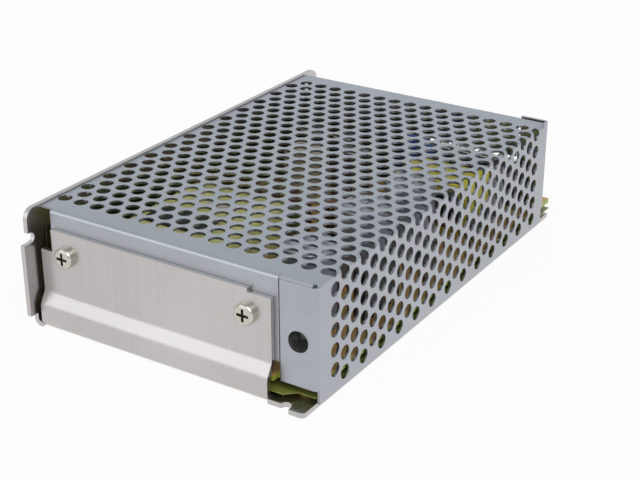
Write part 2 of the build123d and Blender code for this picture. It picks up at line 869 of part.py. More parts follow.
with BuildPart() as transformer_winding:
    with BuildSketch(Plane.XY.offset(barrel[0] + bobbin_wall + winding_gap)):
        with Locations((core_x, core_y)):
            RectangleRounded(2 * (flange_x - winding_gap), 2 * (flange_y - winding_gap), 2 * bobbin_wall)
            Rectangle(
                2 * (barrel_x + bobbin_wall + winding_gap),
                2 * (barrel_y + bobbin_wall + winding_gap),
                mode=Mode.SUBTRACT,
            )
    extrude(amount=barrel[1] - barrel[0] - 2 * bobbin_wall - 2 * winding_gap)
save(transformer_winding, "transformer_winding")


def ring_core(label, place, across, hole_across, thick):
    """Ring core lying flat on its seat."""
    with BuildPart() as ring:
        low = board_top + seat_high + wire
        post(*place, (low, low + thick), across)
        post(*place, (low, low + thick), hole_across, Mode.SUBTRACT)
        fillet(ring.edges().filter_by(GeomType.CIRCLE), radius=box_corner)
    save(ring, label)


def ring_winding(label, place, across, hole_across, thick, arcs):
    """Wire laid round a ring core, as a shell over each wound arc."""
    with BuildPart() as shell:
        middle = (across + hole_across) / 4
        wide = (across - hole_across) / 2
        for start, arc in arcs:
            with BuildSketch(Plane.XZ.rotated((0, 0, start))):
                with Locations((middle, 0)):
                    RectangleRounded(wide + 2 * wire, thick + 2 * wire, wire + box_corner / 2)
                    RectangleRounded(wide + 2 * slip, thick + 2 * slip, box_corner / 2, mode=Mode.SUBTRACT)
            revolve(axis=Axis.Z, revolution_arc=arc)
    shell.part.move(Location((*place, board_top + seat_high + wire + thick / 2)))
    save(shell, label)


def ring_seat(label, place, across, hole_across):
    """Moulded seat between a wound ring and the board, with a centre peg."""
    with BuildPart() as seat:
        with Locations((*place, board_top)):
            Cylinder(across / 2, seat_high, align=base_up)
            Cylinder(hole_across / 2 - 2 * wire, seat_high + wire, align=base_up)
    save(seat, label)


filter_arcs = [
    (filter_start_angle, filter_wound_angle),
    (filter_start_angle + 180, filter_wound_angle),
]
choke_arcs = [(choke_start_angle, choke_wound_angle)]
ring_core("filter_choke_core", filter_place, filter_across, filter_hole, filter_thick)
ring_winding("filter_choke_winding", filter_place, filter_across, filter_hole, filter_thick, filter_arcs)
ring_seat("filter_choke_seat", filter_place, filter_across, filter_hole)
ring_core("output_choke_core", choke_place, choke_across, choke_hole, choke_thick)
ring_winding("output_choke_winding", choke_place, choke_across, choke_hole, choke_thick, choke_arcs)
ring_seat("output_choke_seat", choke_place, choke_across, choke_hole)

# Heat spreader behind the end plate, with the power devices clamped to it
spreader_y = cover_y + cover_sheet + slip
device_y = spreader_y + spreader_thick + pad
clamp_bar_y = device_y + device_tab[1] + device_size[1]
clamp_screw_z = device_low + device_size[2] / 2
device_pitch = (case_width - spreader_left - spreader_right_in) / devices
device_places = [left + spreader_left + device_pitch * (device + 0.5) for device in range(devices)]
clamp_places = [(a + b) / 2 for a, b in zip(device_places[::2], device_places[1::2])]
with BuildPart() as heat_spreader:
    block(
        (left + spreader_left, right - spreader_right_in),
        (spreader_y, spreader_y + spreader_thick),
        (spreader_low, spreader_high),
    )
    spreader_span = (spreader_y, spreader_y + spreader_thick)
    for x in plate_screw_places:
        bar_y(x, spreader_span, plate_screw_height, screw_across, Mode.SUBTRACT)
    for x in clamp_places:
        bar_y(x, spreader_span, clamp_screw_z, screw_across, Mode.SUBTRACT)
save(heat_spreader, "heat_spreader")

with BuildPart() as insulating_pads:
    for x in device_places:
        wide = device_tab[0] / 2 + pad
        high = (device_low - pad, device_low + device_tab[2] + pad)
        block((x - wide, x + wide), (device_y - pad, device_y), high)
save(insulating_pads, "insulating_pads")

with BuildPart() as power_devices:
    for x in device_places:
        tab_y = (device_y, device_y + device_tab[1])
        body_y = (tab_y[1], clamp_bar_y)
        half_wide = device_tab[0] / 2
        block((x - half_wide, x + half_wide), tab_y, (device_low, device_low + device_tab[2]))
        block((x - half_wide, x + half_wide), body_y, (device_low, device_low + device_size[2]))
        for lead in (-1, 0, 1):
            lead_x = x + lead * device_leg_pitch
            block((lead_x - leg / 2, lead_x + leg / 2), (tab_y[1], tab_y[1] + leg), (board_top, device_low))
save(power_devices, "power_devices")

with BuildPart() as clamp_bars:
    for x in clamp_places:
        reach = device_pitch / 2 + clamp_bar_over
        bar_z = (clamp_screw_z - clamp_bar_high / 2, clamp_screw_z + clamp_bar_high / 2)
        block((x - reach, x + reach), (clamp_bar_y, clamp_bar_y + clamp_bar), bar_z)
        bar_y(x, (clamp_bar_y, clamp_bar_y + clamp_bar), clamp_screw_z, screw_pass, Mode.SUBTRACT)
save(clamp_bars, "clamp_bars")

clamp_screw_long = clamp_bar_y + clamp_bar - spreader_y
clamp_screw = pan_screw(small_head, small_head_deep, clamp_screw_long)
with BuildPart() as clamp_screws:
    for x in clamp_places:
        with Locations(Location((x, clamp_bar_y + clamp_bar, clamp_screw_z), (-90, 0, 0))):
            add(clamp_screw)
save(clamp_screws, "clamp_screws")


def chip(x, y, size, leads):
    """Moulded package with a row of leads along each long side."""
    long, wide, high = size
    body_z = (board_top + chip_rise, board_top + chip_rise + high)
    block((x - wide / 2, x + wide / 2), (y - long / 2, y + long / 2), body_z)
    pitch = long / leads
    for lead in range(leads):
        lead_y = y + pitch * (lead + 0.5) - long / 2
        for side in (-1, 1):
            edge = x + side * wide / 2
            span = sorted((edge, edge + side * leg / 2))
            block(span, (lead_y - leg / 2, lead_y + leg / 2), (board_top, body_z[0] + high / 2))


with BuildPart() as control_chip:
    chip(*chip_place, chip_size, chip_legs)
save(control_chip, "control_chip")

with BuildPart() as optocouplers:
    for x, y in coupler_places:
        chip(x, y, coupler_size, chip_legs // 2)
save(optocouplers, "optocouplers")
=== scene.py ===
"""Looks of an enclosed switching power supply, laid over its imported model."""

import math

import bmesh
import bpy
from bpy.props import FloatProperty, FloatVectorProperty, IntProperty, PointerProperty
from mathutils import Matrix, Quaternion, Vector


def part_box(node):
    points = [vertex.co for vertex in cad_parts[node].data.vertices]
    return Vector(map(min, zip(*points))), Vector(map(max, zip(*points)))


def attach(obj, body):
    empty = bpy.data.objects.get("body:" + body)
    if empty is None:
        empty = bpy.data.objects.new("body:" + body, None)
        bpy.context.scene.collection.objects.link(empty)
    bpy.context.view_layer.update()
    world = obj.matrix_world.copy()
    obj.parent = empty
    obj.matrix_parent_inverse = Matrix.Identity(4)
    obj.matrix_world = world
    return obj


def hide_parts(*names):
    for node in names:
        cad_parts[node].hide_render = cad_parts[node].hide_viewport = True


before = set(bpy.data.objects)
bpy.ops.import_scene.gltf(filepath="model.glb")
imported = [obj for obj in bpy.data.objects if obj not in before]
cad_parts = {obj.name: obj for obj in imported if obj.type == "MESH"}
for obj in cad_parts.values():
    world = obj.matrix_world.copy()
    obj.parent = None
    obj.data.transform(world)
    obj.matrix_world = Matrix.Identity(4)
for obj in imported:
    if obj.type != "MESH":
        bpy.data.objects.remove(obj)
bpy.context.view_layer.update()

bl_info = {
    "name": "Power Supply Finishes",
    "version": (1, 0, 0),
    "blender": (4, 5, 0),
    "location": "3D View > Sidebar > Supply",
    "description": "Finishes, windings and stage of an enclosed switching power supply",
    "category": "Object",
}

MM = 0.001
CASE_BODY = "case"
WHITE = (1.0, 1.0, 1.0, 1.0)


class Value:
    """A shader socket that takes part in sums."""

    def __init__(self, graph, socket):
        self.graph = graph
        self.socket = socket

    def maths(self, operation, first, second):
        node = self.graph.node("ShaderNodeMath", {"operation": operation}, {0: first, 1: second})
        return Value(self.graph, node.outputs[0])

    def __add__(self, other):
        return self.maths("ADD", self, other)

    def __radd__(self, other):
        return self.maths("ADD", other, self)

    def __sub__(self, other):
        return self.maths("SUBTRACT", self, other)

    def __rsub__(self, other):
        return self.maths("SUBTRACT", other, self)

    def __mul__(self, other):
        return self.maths("MULTIPLY", self, other)

    def __rmul__(self, other):
        return self.maths("MULTIPLY", other, self)

    def __truediv__(self, other):
        return self.maths("DIVIDE", self, other)

    def __gt__(self, other):
        return self.maths("GREATER_THAN", self, other)

    def __lt__(self, other):
        return self.maths("LESS_THAN", self, other)

    def fold(self, length):
        """Up and down between nought and a length, as a thread's flanks do."""
        return self.maths("PINGPONG", self, length)

    def part(self):
        """What is left over a whole number."""
        return self.maths("FRACT", self, 0.0)

    def swing(self, about, by):
        """A pattern from 0 to 1, made to swing about a middle value."""
        return (self - 0.5) * by + about


class Graph:
    """The nodes of one material or world."""

    def __init__(self, name, world=False):
        self.made = (bpy.data.worlds if world else bpy.data.materials).new(name)
        self.made.use_nodes = True
        self.tree = self.made.node_tree
        self.tree.nodes.clear()
        self.output = self.node("ShaderNodeOutputWorld" if world else "ShaderNodeOutputMaterial")

    def node(self, kind, settings=None, inputs=None):
        """New node of a type, with its settings first and then its sockets' values or links."""
        made = self.tree.nodes.new(kind)
        for name, value in (settings or {}).items():
            setattr(made, name, value)
        for name, value in (inputs or {}).items():
            socket = made.inputs[name]
            if isinstance(value, Value):
                self.tree.links.new(value.socket, socket)
            elif isinstance(value, bpy.types.NodeSocket):
                self.tree.links.new(value, socket)
            else:
                socket.default_value = value
        return made

    def place(self):
        """Point on the object, in metres from its own origin."""
        return self.node("ShaderNodeTexCoord").outputs["Object"]

    def axis(self, name):
        """One coordinate of that point."""
        return Value(self, self.node("ShaderNodeSeparateXYZ", None, {0: self.place()}).outputs[name])

    def facing(self, name):
        """One part of the surface's direction."""
        normal = self.node("ShaderNodeNewGeometry").outputs["Normal"]
        return Value(self, self.node("ShaderNodeSeparateXYZ", None, {0: normal}).outputs[name])

    def noise(self, waves, detail, stretch=(1.0, 1.0, 1.0)):
        """Noise from 0 to 1, with its waves per metre stretched along each axis."""
        spread = self.node(
            "ShaderNodeVectorMath",
            {"operation": "MULTIPLY"},
            {0: self.place(), 1: [waves * part for part in stretch]},
        )
        inputs = {"Vector": spread.outputs[0], "Scale": 1.0, "Detail": detail}
        return Value(self, self.node("ShaderNodeTexNoise", None, inputs).outputs["Fac"])

    def mix(self, share, first, second):
        """Colour between two others."""
        inputs = {0: share, 6: as_colour(first), 7: as_colour(second)}
        return self.node("ShaderNodeMix", {"data_type": "RGBA"}, inputs).outputs[2]

    def tones(self, pattern, colour, darkest, palest):
        """One hue between a darker and a paler shade of it."""
        return self.mix(pattern, shade(colour, darkest), shade(colour, palest))

    def normal(self, height, edge=0.0):
        """Surface normal from a height in metres and a rounded look at sharp edges."""
        inputs = {"Height": height, "Distance": 1.0, "Strength": 1.0}
        if edge:
            inputs["Normal"] = self.node("ShaderNodeBevel", {"samples": 4}, {"Radius": edge}).outputs[0]
        return self.node("ShaderNodeBump", None, inputs).outputs[0]

    def background_rays(self):
        """One where the camera, a reflection or clear glass looks, and nought for light."""
        path = self.node("ShaderNodeLightPath").outputs
        unseen = 1.0 - Value(self, path["Is Camera Ray"])
        unseen = unseen * (1.0 - Value(self, path["Is Glossy Ray"]))
        return 1.0 - unseen * (1.0 - Value(self, path["Is Transmission Ray"]))

    def finish(self, shader):
        """Links the last shader and gives the material or world back."""
        self.tree.links.new(shader.outputs[0], self.output.inputs[0])
        return self.made

    def surface(self, **inputs):
        """Finishes the material with one Principled shader."""
        named = {name.replace("_", " "): value for name, value in inputs.items()}
        return self.finish(self.node("ShaderNodeBsdfPrincipled", None, named))


def as_colour(value):
    """Colour socket, or the four numbers of a colour."""
    if isinstance(value, (bpy.types.NodeSocket, Value)):
        return value
    return [*value[:3], 1.0]


def shade(colour, factor):
    """The same hue, darker or lighter."""
    return tuple(min(1.0, part * factor) for part in colour[:3])


def paint(material, *names):
    """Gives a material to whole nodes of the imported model, by name or by the start of it."""
    nodes = [node for name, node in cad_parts.items() if name.startswith(names)]
    if not nodes:
        raise ValueError(f"the model has no node called {' or '.join(names)}")
    for node in nodes:
        node.data.materials.clear()
        node.data.materials.append(material)


# How far a surface has to turn to a side to count as facing it, and as square on to it
FACING, SQUARE_ON = 0.5, 0.9

# How far the clouds and the grain of sheet metal change its tone, its roughness and its relief
CLOUD_TONE, CLOUD_ROUGH, CLOUD_RELIEF = 0.9, 0.14, 0.008 * MM
GRAIN_ROUGH, GRAIN_RELIEF = 0.12, 0.012 * MM
GRAIN_TONE = 0.32

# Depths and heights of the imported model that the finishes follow
CASE_HEAD = 2.2 * MM
SMALL_HEAD = 1.7 * MM
TERMINAL_HEAD = 2.0 * MM
RECESS_FLOOR = 1.25 * MM
THREAD_PITCH = 0.5 * MM
FILM_WALL = -46.2 * MM
FUSE_CAP = 5.0 * MM
ROTOR_CROSS = 0.6 * MM
SLEEVE_FOLD = 0.6 * MM

# Relief of skins, creases and waves
SKIN_RELIEF = 0.03 * MM
NYLON_RELIEF = 0.01 * MM
WEAVE_RELIEF = 0.01 * MM
PAPER_RELIEF = 0.02 * MM
CREASE_RELIEF = 0.35 * MM
FILM_RELIEF = 0.4 * MM

# Share of a turn of tape that its edge takes, how much it shows, and the tape's tone fresh and worn
TAPE_EDGE, TAPE_EDGE_TONE = 0.05, 0.5
TAPE_FRESH, TAPE_WORN = 1.1, 0.62

# How much of the colour is left where shade is painted: in the recess of a screw, the cross of the rotor and
# the film's upright part
RECESS_SHADE, CROSS_SHADE, WALL_SHADE = 0.06, 0.10, 0.16

# How metallic the top of a can is, and how much smoother than its sleeve
TOP_METAL, TOP_SMOOTH = 0.9, 0.06


def metal_sheet(name, colour, roughness, cloud, grain, edge, streak=GRAIN_TONE):
    """Plated or rolled sheet: faint clouds, a fine grain and bright rounded edges."""
    graph = Graph(name)
    clouds = graph.noise(cloud, detail=4.0)
    lines = graph.noise(1.0, detail=4.0, stretch=grain)
    tone = (clouds - 0.5) * CLOUD_TONE + lines.swing(about=0.5, by=streak)
    return graph.surface(
        Base_Color=graph.tones(tone, colour, darkest=0.84, palest=1.16),
        Metallic=1.0,
        Roughness=(clouds - 0.5) * CLOUD_ROUGH + lines.swing(about=roughness, by=GRAIN_ROUGH),
        Normal=graph.normal(lines * GRAIN_RELIEF + clouds * CLOUD_RELIEF, edge),
    )


def screw_metal(name, colour, axis, seat, outward, edge):
    """Plated screw: a bright head on its seat with painted shade on the floor of its cross recess, and a
    rolled thread on the other side of it.
    """
    graph = Graph(name)
    along = graph.axis(axis)
    above = (along - seat) * outward
    shank = above < 0.0
    # The floor of the cross recess, facing out, gets painted shade
    recess = (above > 0.0) * (above < RECESS_FLOOR) * (graph.facing(axis) * outward > SQUARE_ON)
    wear = graph.noise(500.0, detail=3.0)
    bright = graph.tones(wear, colour, darkest=0.85, palest=1.12)
    return graph.surface(
        Base_Color=graph.mix(recess, bright, shade(colour, RECESS_SHADE)),
        Metallic=1.0,
        Roughness=wear.swing(about=0.16, by=0.12),
        Normal=graph.normal(along.fold(THREAD_PITCH / 2) * shank, edge),
    )


def moulding(name, colour, roughness, grain, relief=SKIN_RELIEF, coat=0.0, gloss=1.5):
    """Moulded plastic, dipped coating or ceramic with a fine skin and slight tone changes."""
    graph = Graph(name)
    skin = graph.noise(grain, detail=2.0)
    tone = graph.noise(90.0, detail=3.0)
    return graph.surface(
        Base_Color=graph.tones(tone, colour, darkest=0.82, palest=1.14),
        Roughness=skin.swing(about=roughness, by=0.15),
        Coat_Weight=coat,
        IOR=gloss,
        Normal=graph.normal(skin * relief),
    )


def rotor_material(name, colour, top_height):
    """White moulding with the floor of its cross in shade."""
    graph = Graph(name)
    skin = graph.noise(600.0, detail=2.0)
    floor = (graph.axis("Z") < (top_height - ROTOR_CROSS / 2)) * (graph.facing("Z") > FACING)
    return graph.surface(
        Base_Color=graph.mix(floor, colour, shade(colour, CROSS_SHADE)),
        Roughness=skin.swing(about=0.40, by=0.15),
        Normal=graph.normal(skin * SKIN_RELIEF),
    )


def can_material(name, sleeve, metal, top_height):
    """Shrunk sleeve on the side of a can, folded over its rim, and bare metal on top."""
    graph = Graph(name)
    top = (graph.axis("Z") > (top_height - SLEEVE_FOLD)) * (graph.facing("Z") > FACING)
    wear = graph.noise(300.0, detail=3.0)
    side_tint = graph.tones(wear, sleeve, darkest=0.85, palest=1.1)
    top_tint = graph.tones(wear, metal, darkest=0.85, palest=1.1)
    return graph.surface(
        Base_Color=graph.mix(top, side_tint, top_tint),
        Metallic=top * TOP_METAL,
        Roughness=wear.swing(about=0.38, by=0.1) - top * TOP_SMOOTH,
    )


def tape_material(name, colour, width, low):
    """Wrapped tape: glossy, creased, with the edges of its turns."""
    graph = Graph(name)
    edge_line = (((graph.axis("Z") - low) / width).part() < TAPE_EDGE) * TAPE_EDGE_TONE
    crease = graph.noise(1.0, detail=4.0, stretch=(120.0, 420.0, 260.0))
    worn = crease.swing(about=0.24, by=1.6) + edge_line
    return graph.surface(
        Base_Color=graph.mix(worn, shade(colour, TAPE_FRESH), shade(colour, TAPE_WORN)),
        Roughness=crease.swing(about=0.3, by=0.2),
        Normal=graph.normal(crease * CREASE_RELIEF),
    )


def film_material(name, colour):
    """Thin tinted film with a soft wave, with painted shade where it stands up along the wall."""
    graph = Graph(name)
    wave = graph.noise(60.0, detail=2.0)
    flat = graph.tones(wave, colour, darkest=0.8, palest=1.15)
    # Painted shade on the upright part of the film along the wall
    upright = graph.axis("X") < FILM_WALL
    return graph.surface(
        Base_Color=graph.mix(upright, flat, shade(colour, WALL_SHADE)),
        Roughness=0.25,
        Transmission_Weight=0.2,
        Normal=graph.normal(wave * FILM_RELIEF),
    )


def board_material(name, face, cut, under):
    """Board with a tan face, a yellow-green cut edge and a dark green underside."""
    graph = Graph(name)
    upward = graph.facing("Z")
    weave = graph.noise(1500.0, detail=2.0)
    blotch = graph.noise(120.0, detail=4.0)
    top = graph.tones(blotch, face, darkest=0.75, palest=1.2)
    side = graph.tones(weave, cut, darkest=0.8, palest=1.15)
    low = graph.tones(blotch, under, darkest=0.7, palest=1.3)
    tint = graph.mix(upward < -FACING, graph.mix(upward > FACING, side, top), low)
    return graph.surface(Base_Color=tint, Roughness=0.45, Normal=graph.normal(weave * WEAVE_RELIEF))


def wire_material(name, colour):
    """Enamelled wire."""
    graph = Graph(name)
    tone = graph.noise(500.0, detail=2.0)
    return graph.surface(
        Base_Color=graph.tones(tone, colour, darkest=0.75, palest=1.2),
        Metallic=0.6,
        Roughness=0.28,
        Coat_Weight=0.6,
    )


def fuse_material(name, glass, cap):
    """Pale tube between two bright metal caps."""
    graph = Graph(name)
    low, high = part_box("fuse")
    along = graph.axis("X")
    caps = (along < (low.x + FUSE_CAP)) + (along > (high.x - FUSE_CAP))
    return graph.surface(Base_Color=graph.mix(caps, glass, cap), Metallic=caps, Roughness=0.15)


def paper_material(name, colour):
    """Plain paper patch, a little scuffed."""
    graph = Graph(name)
    scuff = graph.noise(600.0, detail=4.0)
    tint = graph.tones(scuff, colour, darkest=0.8, palest=1.08)
    return graph.surface(Base_Color=tint, Roughness=0.55, Normal=graph.normal(scuff * PAPER_RELIEF))


class CaseLook(bpy.types.PropertyGroup):
    """Finish of the sheet metal."""

    cover: FloatVectorProperty(
        name="Cover", description="Colour of the zinc plating", subtype="COLOR", default=(0.408, 0.426, 0.462)
    )
    chassis: FloatVectorProperty(
        name="Chassis", description="Colour of the aluminium", subtype="COLOR", default=(0.54, 0.515, 0.505)
    )
    screw: FloatVectorProperty(
        name="Screws", description="Colour of the plated screws", subtype="COLOR", default=(0.58, 0.555, 0.49)
    )
    film: FloatVectorProperty(
        name="Film", description="Colour of the insulating film", subtype="COLOR", default=(0.25, 0.27, 0.06)
    )
    edge: FloatProperty(
        name="Edge",
        description="Rounding seen at cut edges",
        subtype="DISTANCE",
        unit="LENGTH",
        default=0.12 * MM,
    )


class WindingLook(bpy.types.PropertyGroup):
    """Wire of the ring chokes and wrapping of the transformer."""

    copper: FloatVectorProperty(
        name="Copper",
        description="Colour of the enamelled wire",
        subtype="COLOR",
        default=(0.19, 0.095, 0.035),
    )
    wire: FloatProperty(
        name="Wire", description="Diameter of the wire", subtype="DISTANCE", unit="LENGTH", default=1.1 * MM
    )
    fine_turns: IntProperty(name="Line turns", description="Turns on each line winding", default=13, min=2)
    thick_turns: IntProperty(name="Output turns", description="Turns on the output choke", default=22, min=2)
    tape: FloatVectorProperty(
        name="Tape",
        description="Colour of the transformer's tape",
        subtype="COLOR",
        default=(0.88, 0.87, 0.32),
    )
    tape_width: FloatProperty(
        name="Tape width",
        description="Width of one turn of tape",
        subtype="DISTANCE",
        unit="LENGTH",
        default=6.0 * MM,
    )
    tape_thick: FloatProperty(
        name="Tape build",
        description="Thickness of the wrapping",
        subtype="DISTANCE",
        unit="LENGTH",
        default=0.3 * MM,
    )


class StageLook(bpy.types.PropertyGroup):
    """Light and camera."""

    lens: FloatProperty(name="Lens", description="Focal length of the camera", unit="CAMERA", default=78.94)
    sky: FloatProperty(name="Sky", description="Strength of the soft light all round", default=0.62)
    key: FloatProperty(
        name="Key", description="Power of the lamp above the near right corner", subtype="POWER", default=3.8
    )
    fill: FloatProperty(
        name="Fill", description="Power of the low lamp at the near left corner", subtype="POWER", default=1.9
    )


class SUPPLY_OT_case(bpy.types.Operator):
    """Finish the chassis, the perforated cover and what fastens them"""

    bl_idname = "supply.case"
    bl_label = "Case finishes"

    def execute(self, context):
        look = context.scene.supply_case
        cover = metal_sheet(
            "zinc_plating",
            look.cover,
            roughness=0.30,
            cloud=28.0,
            grain=(300.0, 60.0, 300.0),
            edge=2.0 * look.edge,
        )
        chassis = metal_sheet(
            "rolled_aluminium",
            look.chassis,
            roughness=0.30,
            cloud=22.0,
            grain=(1100.0, 24.0, 24.0),
            edge=look.edge,
            streak=0.5,
        )
        paint(cover, "mesh_cover")
        paint(chassis, "chassis")
        seats = (
            ("case_screws", "Y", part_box("case_screws")[0].y + CASE_HEAD, -1.0),
            ("board_screws", "Z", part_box("board_screws")[1].z - SMALL_HEAD, 1.0),
            ("clamp_screws", "Y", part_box("clamp_screws")[1].y - SMALL_HEAD, 1.0),
            ("terminal_screw", "Y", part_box("terminal_screw_1")[1].y - TERMINAL_HEAD, 1.0),
        )
        for name, axis, seat, outward in seats:
            paint(screw_metal(f"{name}_plating", look.screw, axis, seat, outward, look.edge), name)
        black = (0.002, 0.002, 0.002)
        nylon = moulding("rivet_nylon", black, roughness=0.16, grain=200.0, relief=NYLON_RELIEF, gloss=1.3)
        paint(nylon, "snap_rivet")
        paint(film_material("tinted_film", look.film), "insulating_sheet")
        return {"FINISHED"}


# Name, colour, roughness, waves of the skin per metre, coat and the nodes that have it
MOULDED = (
    ("black_moulding", (0.020, 0.020, 0.021), 0.45, 800.0, 0.0, ("transformer_bobbin", "power_devices")),
    ("black_package", (0.022, 0.022, 0.023), 0.40, 900.0, 0.0, ("bridge_rectifier", "control_chip")),
    ("black_seat", (0.018, 0.018, 0.019), 0.50, 600.0, 0.0, ("filter_choke_seat", "output_choke_seat")),
    (
        "dark_coating",
        (0.035, 0.045, 0.035),
        0.40,
        400.0,
        0.2,
        ("thermistor", "guard_capacitors", "film_capacitor"),
    ),
    ("block_moulding", (0.060, 0.062, 0.066), 0.50, 700.0, 0.0, ("terminal_block",)),
    ("blue_coating", (0.020, 0.060, 0.300), 0.22, 250.0, 0.5, ("varistor",)),
    ("yellow_box", (0.88, 0.80, 0.08), 0.32, 500.0, 0.0, ("x_capacitor",)),
    ("cream_ceramic", (0.62, 0.54, 0.42), 0.60, 900.0, 0.0, ("cement_resistor",)),
    ("trimmer_blue", (0.020, 0.100, 0.400), 0.35, 600.0, 0.0, ("trimmer_body",)),
    ("white_moulding", (0.72, 0.72, 0.70), 0.40, 600.0, 0.0, ("optocouplers",)),
    ("lamp_lens", (0.040, 0.380, 0.080), 0.15, 100.0, 0.5, ("power_lamp",)),
    ("grey_pad", (0.20, 0.21, 0.22), 0.70, 500.0, 0.0, ("insulating_pads",)),
    ("ferrite", (0.022, 0.021, 0.021), 0.55, 700.0, 0.0, ("transformer_core", "filter_choke_core")),
    ("painted_ring", (0.10, 0.12, 0.03), 0.50, 500.0, 0.0, ("output_choke_core",)),
)

# Name, colours of sleeve and top, a can as tall as all of them, and the nodes
CANS = (
    ("bulk_sleeve", (0.27, 0.27, 0.325), (0.62, 0.61, 0.66), "bulk_capacitor_1", "bulk_capacitor"),
    ("standby_sleeve", (0.32, 0.33, 0.38), (0.58, 0.58, 0.60), "standby_capacitor", "standby_capacitor"),
    ("output_sleeve", (0.075, 0.062, 0.055), (0.50, 0.47, 0.46), "output_capacitor_1", "output_capacitor"),
)

EVEN_GRAIN = (500.0, 500.0, 500.0)


class SUPPLY_OT_board(bpy.types.Operator):
    """Finish the board and the parts that stand on it"""

    bl_idname = "supply.board"
    bl_label = "Board finishes"

    def execute(self, context):
        laminate = board_material(
            "laminate", face=(0.60, 0.37, 0.125), cut=(0.40, 0.44, 0.08), under=(0.03, 0.10, 0.04)
        )
        paint(laminate, "circuit_board")
        for name, colour, roughness, grain, coat, parts in MOULDED:
            paint(moulding(name, colour, roughness, grain, coat=coat), *parts)
        edge = context.scene.supply_case.edge
        tin = metal_sheet(
            "tin_plating", (0.60, 0.60, 0.58), roughness=0.28, cloud=200.0, grain=EVEN_GRAIN, edge=edge
        )
        paint(tin, "terminal_contacts", "terminal_clamp", "fuse_clips", "heat_spreader", "clamp_bars")
        brass = metal_sheet(
            "turned_brass", (0.55, 0.38, 0.12), roughness=0.30, cloud=200.0, grain=EVEN_GRAIN, edge=edge
        )
        paint(brass, "board_feet")
        for name, sleeve, metal, tallest, parts in CANS:
            paint(can_material(name, sleeve, metal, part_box(tallest)[1].z), parts)
        paint(fuse_material("fuse_glass", glass=(0.70, 0.72, 0.70), cap=(0.62, 0.62, 0.60)), "fuse")
        rotor_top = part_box("trimmer_rotor")[1].z
        rotor = rotor_material("rotor_moulding", (0.72, 0.72, 0.70), rotor_top)
        paint(rotor, "trimmer_rotor")
        return {"FINISHED"}


# Bend of the wire at the ring's edges, in wires, and the facets of its bends and of its section
WIRE_BEND, BEND_STEPS, WIRE_SIDES = 1.6, 5, 10

TURN_INPUTS = (
    ("Turns", "NodeSocketInt"),
    ("Start", "NodeSocketFloat"),
    ("Arc", "NodeSocketFloat"),
    ("Middle", "NodeSocketFloat"),
    ("Wide", "NodeSocketFloat"),
    ("High", "NodeSocketFloat"),
    ("Wire", "NodeSocketFloat"),
    ("Centre", "NodeSocketVector"),
    ("Material", "NodeSocketMaterial"),
)


def choke_tree(name):
    """Geometry nodes that lay turns of wire round a flat ring."""
    tree = bpy.data.node_groups.new(name, "GeometryNodeTree")
    face = tree.interface
    face.new_socket("Geometry", in_out="OUTPUT", socket_type="NodeSocketGeometry")
    for label, kind in TURN_INPUTS:
        face.new_socket(label, in_out="INPUT", socket_type=kind)

    def node(kind, inputs=None, **settings):
        made = tree.nodes.new(kind)
        for key, value in settings.items():
            setattr(made, key, value)
        for key, value in (inputs or {}).items():
            if isinstance(value, bpy.types.NodeSocket):
                tree.links.new(value, made.inputs[key])
            else:
                made.inputs[key].default_value = value
        return made

    def maths(operation, first, second=0.0):
        return node("ShaderNodeMath", {0: first, 1: second}, operation=operation).outputs[0]

    given = node("NodeGroupInput").outputs
    size = {"Width": given["Wide"], "Height": given["High"]}
    loop = node("GeometryNodeCurvePrimitiveQuadrilateral", size, mode="RECTANGLE")
    radius = maths("MULTIPLY", given["Wire"], WIRE_BEND)
    bend = {"Curve": loop.outputs[0], "Radius": radius, "Count": BEND_STEPS}
    rounded = node("GeometryNodeFilletCurve", bend, mode="POLY")
    profile = {"Resolution": WIRE_SIDES, "Radius": maths("MULTIPLY", given["Wire"], 0.5)}
    section = node("GeometryNodeCurvePrimitiveCircle", profile)
    turn = node("GeometryNodeCurveToMesh", {"Curve": rounded.outputs[0], "Profile Curve": section.outputs[0]})
    quarter = (math.pi / 2, 0.0, 0.0)
    upright = node("GeometryNodeTransform", {"Geometry": turn.outputs[0], "Rotation": quarter})
    points = node("GeometryNodePoints", {"Count": given["Turns"]})
    number = node("GeometryNodeInputIndex").outputs[0]
    step = maths("DIVIDE", given["Arc"], maths("SUBTRACT", given["Turns"], 1.0))
    angle = maths("ADD", given["Start"], maths("MULTIPLY", number, step))
    across = maths("MULTIPLY", maths("COSINE", angle), given["Middle"])
    along = maths("MULTIPLY", maths("SINE", angle), given["Middle"])
    spot = node("ShaderNodeCombineXYZ", {0: across, 1: along}).outputs[0]
    placed = node("GeometryNodeSetPosition", {"Geometry": points.outputs[0], "Position": spot})
    turned = node("ShaderNodeCombineXYZ", {2: angle}).outputs[0]
    copies = {"Points": placed.outputs[0], "Instance": upright.outputs[0], "Rotation": turned}
    laid = node("GeometryNodeInstanceOnPoints", copies)
    moved = node("GeometryNodeTransform", {"Geometry": laid.outputs[0], "Translation": given["Centre"]})
    real = node("GeometryNodeRealizeInstances", {"Geometry": moved.outputs[0]})
    soft = node("GeometryNodeSetShadeSmooth", {"Geometry": real.outputs[0]})
    skinned = node("GeometryNodeSetMaterial", {"Geometry": soft.outputs[0], "Material": given["Material"]})
    node("NodeGroupOutput", {0: skinned.outputs[0]})
    return tree


def grow(name, tree, values):
    """Runs a geometry tree once and keeps its result as a plain mesh object."""
    holder = bpy.data.objects.new(name, bpy.data.meshes.new(name + "_seed"))
    bpy.context.scene.collection.objects.link(holder)
    modifier = holder.modifiers.new("grow", "NODES")
    modifier.node_group = tree
    for item in tree.interface.items_tree:
        if item.item_type == "SOCKET" and item.in_out == "INPUT" and item.name in values:
            modifier[item.identifier] = values[item.name]
    graph = bpy.context.evaluated_depsgraph_get()
    mesh = bpy.data.meshes.new_from_object(holder.evaluated_get(graph), depsgraph=graph)
    holder.modifiers.clear()
    holder.data = mesh
    mesh.name = name
    return holder


